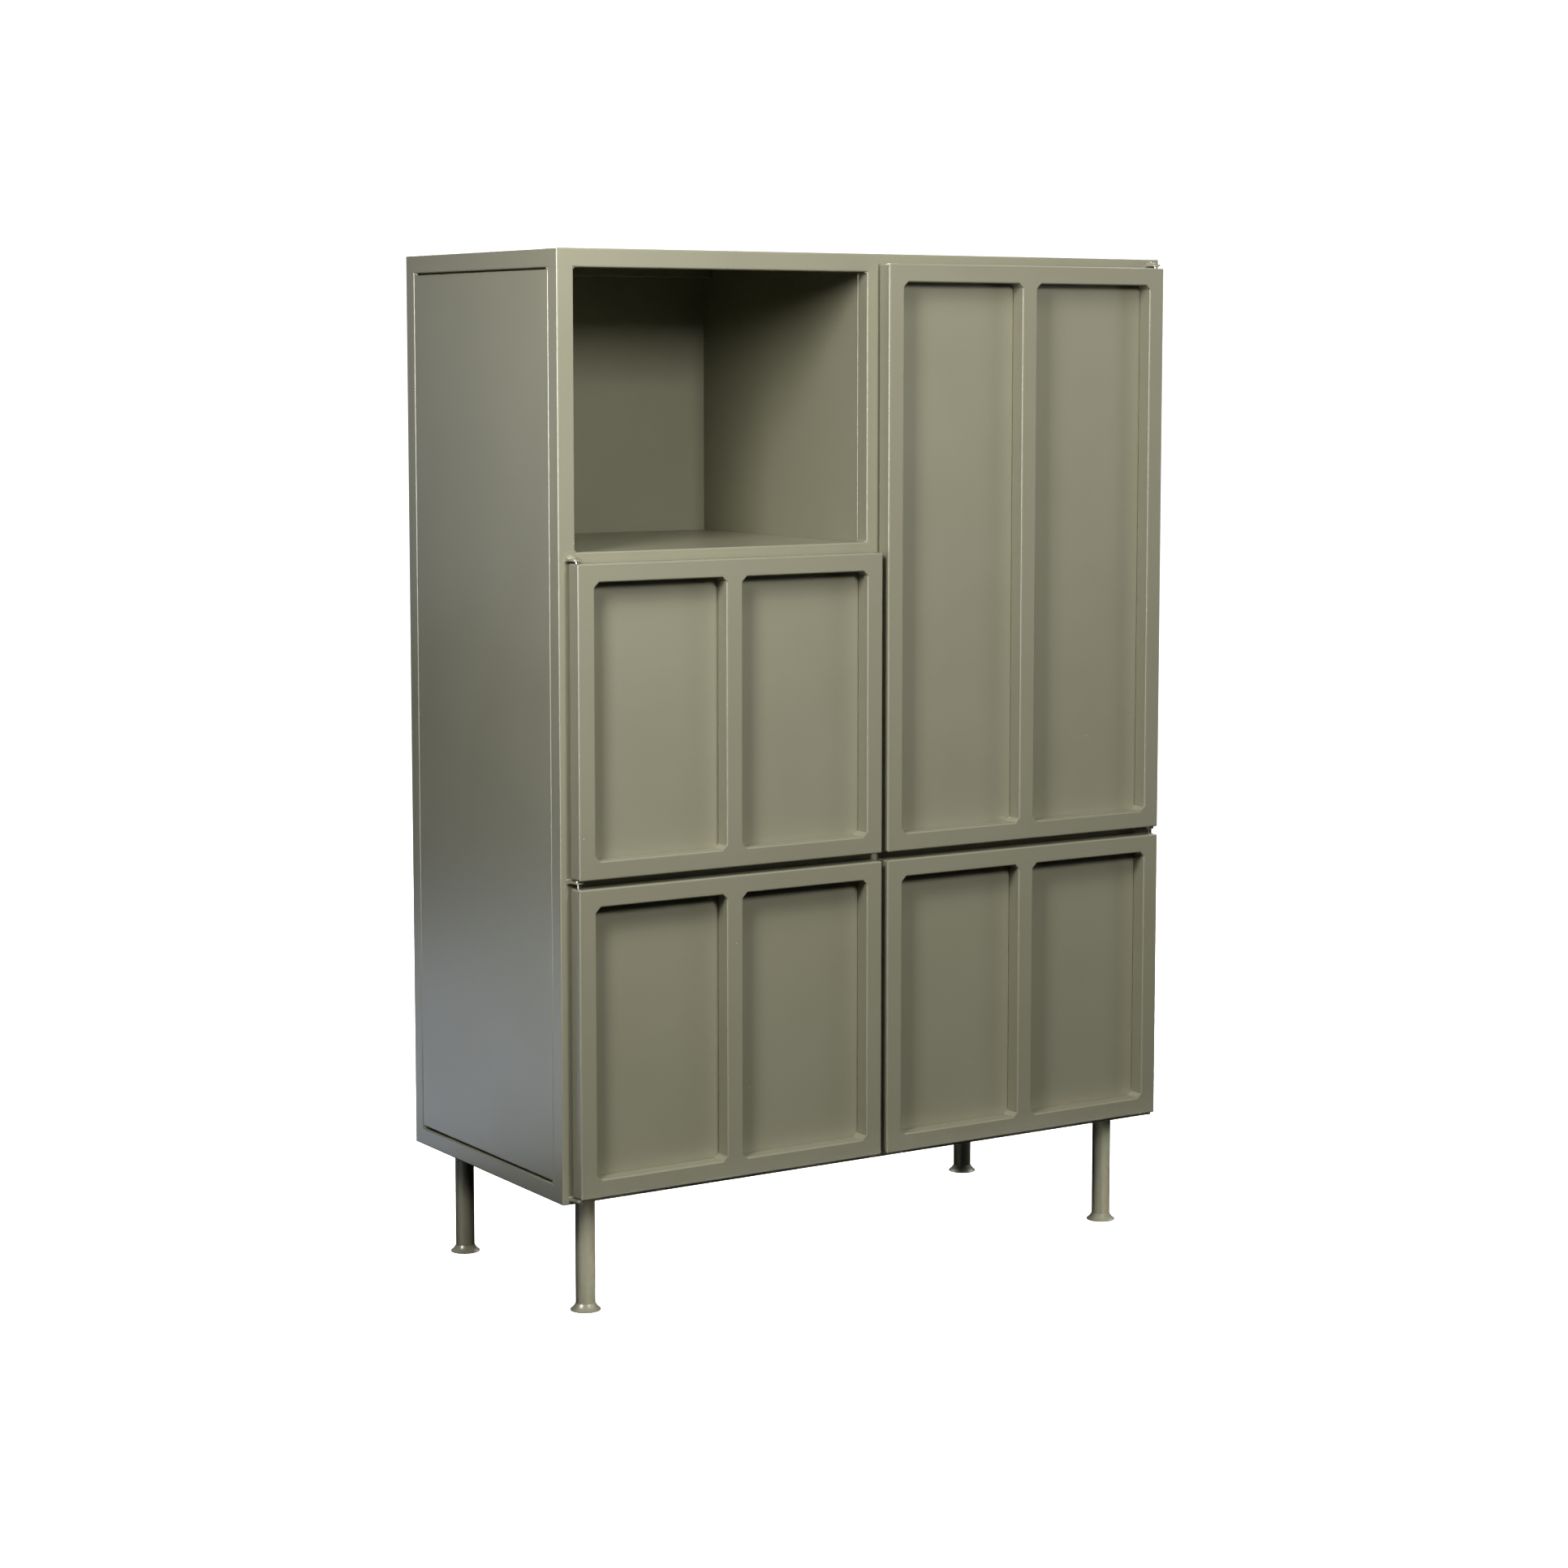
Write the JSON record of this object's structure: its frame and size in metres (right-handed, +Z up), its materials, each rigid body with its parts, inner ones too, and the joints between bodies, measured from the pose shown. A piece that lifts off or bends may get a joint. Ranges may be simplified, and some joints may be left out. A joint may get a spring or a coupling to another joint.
{
  "type": "storage cabinet",
  "caption": "Welded steel cabinet on round legs, with an open niche and framed doors that turn on pivot pins, in a sage powder coat.",
  "frame": {"origin": "on the floor, in the middle of the outline of carcass and doors", "axes": "+Z up, -Y towards the person at the doors, +X to the right as seen from the front"},
  "size_m": [1, 0.4684, 1.43],
  "materials": {
    "sage_powder_coat": "satin powder coat",
    "pin_steel": "bright turned",
    "nickel": "nickel plated",
    "bronze_bush": "sintered"
  },
  "bodies": {
    "carcass": {"bottom_front_rail": "sage_powder_coat", "bottom_rear_rail": "sage_powder_coat", "bottom_left_rail": "sage_powder_coat", "bottom_right_rail": "sage_powder_coat", "top_front_rail": "sage_powder_coat", "top_rear_rail": "sage_powder_coat", "top_left_rail": "sage_powder_coat", "top_right_rail": "sage_powder_coat", "front_left_post": "sage_powder_coat", "front_right_post": "sage_powder_coat", "rear_left_post": "sage_powder_coat", "rear_right_post": "sage_powder_coat", "centre_post": "sage_powder_coat", "niche_rail": "sage_powder_coat", "left_middle_rail": "sage_powder_coat", "right_middle_rail": "sage_powder_coat", "left_side_panel": "sage_powder_coat", "right_side_panel": "sage_powder_coat", "top_panel": "sage_powder_coat", "bottom_panel": "sage_powder_coat", "back_panel": "sage_powder_coat", "divider_panel": "sage_powder_coat", "niche_floor": "sage_powder_coat", "left_middle_shelf": "sage_powder_coat", "right_middle_shelf": "sage_powder_coat", "tall_shelf": "sage_powder_coat", "legs": "sage_powder_coat", "feet": "sage_powder_coat", "leg_plates": "sage_powder_coat", "hinge_tabs": "sage_powder_coat", "hinge_pins": "pin_steel", "hinge_washers": "pin_steel", "door_magnets": "nickel"},
    "middle_door": {"middle_door_hinge_stile": "sage_powder_coat", "middle_door_free_stile": "sage_powder_coat", "middle_door_rails": "sage_powder_coat", "middle_door_mullion": "sage_powder_coat", "middle_door_sheet": "sage_powder_coat", "middle_door_bushes": "bronze_bush"},
    "lower_left_door": {"lower_left_door_hinge_stile": "sage_powder_coat", "lower_left_door_free_stile": "sage_powder_coat", "lower_left_door_rails": "sage_powder_coat", "lower_left_door_mullion": "sage_powder_coat", "lower_left_door_sheet": "sage_powder_coat", "lower_left_door_bushes": "bronze_bush"},
    "tall_door": {"tall_door_hinge_stile": "sage_powder_coat", "tall_door_free_stile": "sage_powder_coat", "tall_door_rails": "sage_powder_coat", "tall_door_mullion": "sage_powder_coat", "tall_door_sheet": "sage_powder_coat", "tall_door_bushes": "bronze_bush"},
    "lower_right_door": {"lower_right_door_hinge_stile": "sage_powder_coat", "lower_right_door_free_stile": "sage_powder_coat", "lower_right_door_rails": "sage_powder_coat", "lower_right_door_mullion": "sage_powder_coat", "lower_right_door_sheet": "sage_powder_coat", "lower_right_door_bushes": "bronze_bush"}
  },
  "joints": [
    {"name": "middle_door_hinge", "type": "hinge", "parent": "carcass", "child": "middle_door", "pos_m": [-0.4815, -0.22175, 0.81], "axis": [0, 0, -1], "range_deg": [0, 180]},
    {"name": "lower_left_door_hinge", "type": "hinge", "parent": "carcass", "child": "lower_left_door", "pos_m": [-0.4815, -0.22175, 0.38], "axis": [0, 0, -1], "range_deg": [0, 180]},
    {"name": "tall_door_hinge", "type": "hinge", "parent": "carcass", "child": "tall_door", "pos_m": [0.4815, -0.22175, 1.0085], "axis": [0, 0, 1], "range_deg": [0, 180]},
    {"name": "lower_right_door_hinge", "type": "hinge", "parent": "carcass", "child": "lower_right_door", "pos_m": [0.4815, -0.22175, 0.38], "axis": [0, 0, 1], "range_deg": [0, 180]}
  ]
}
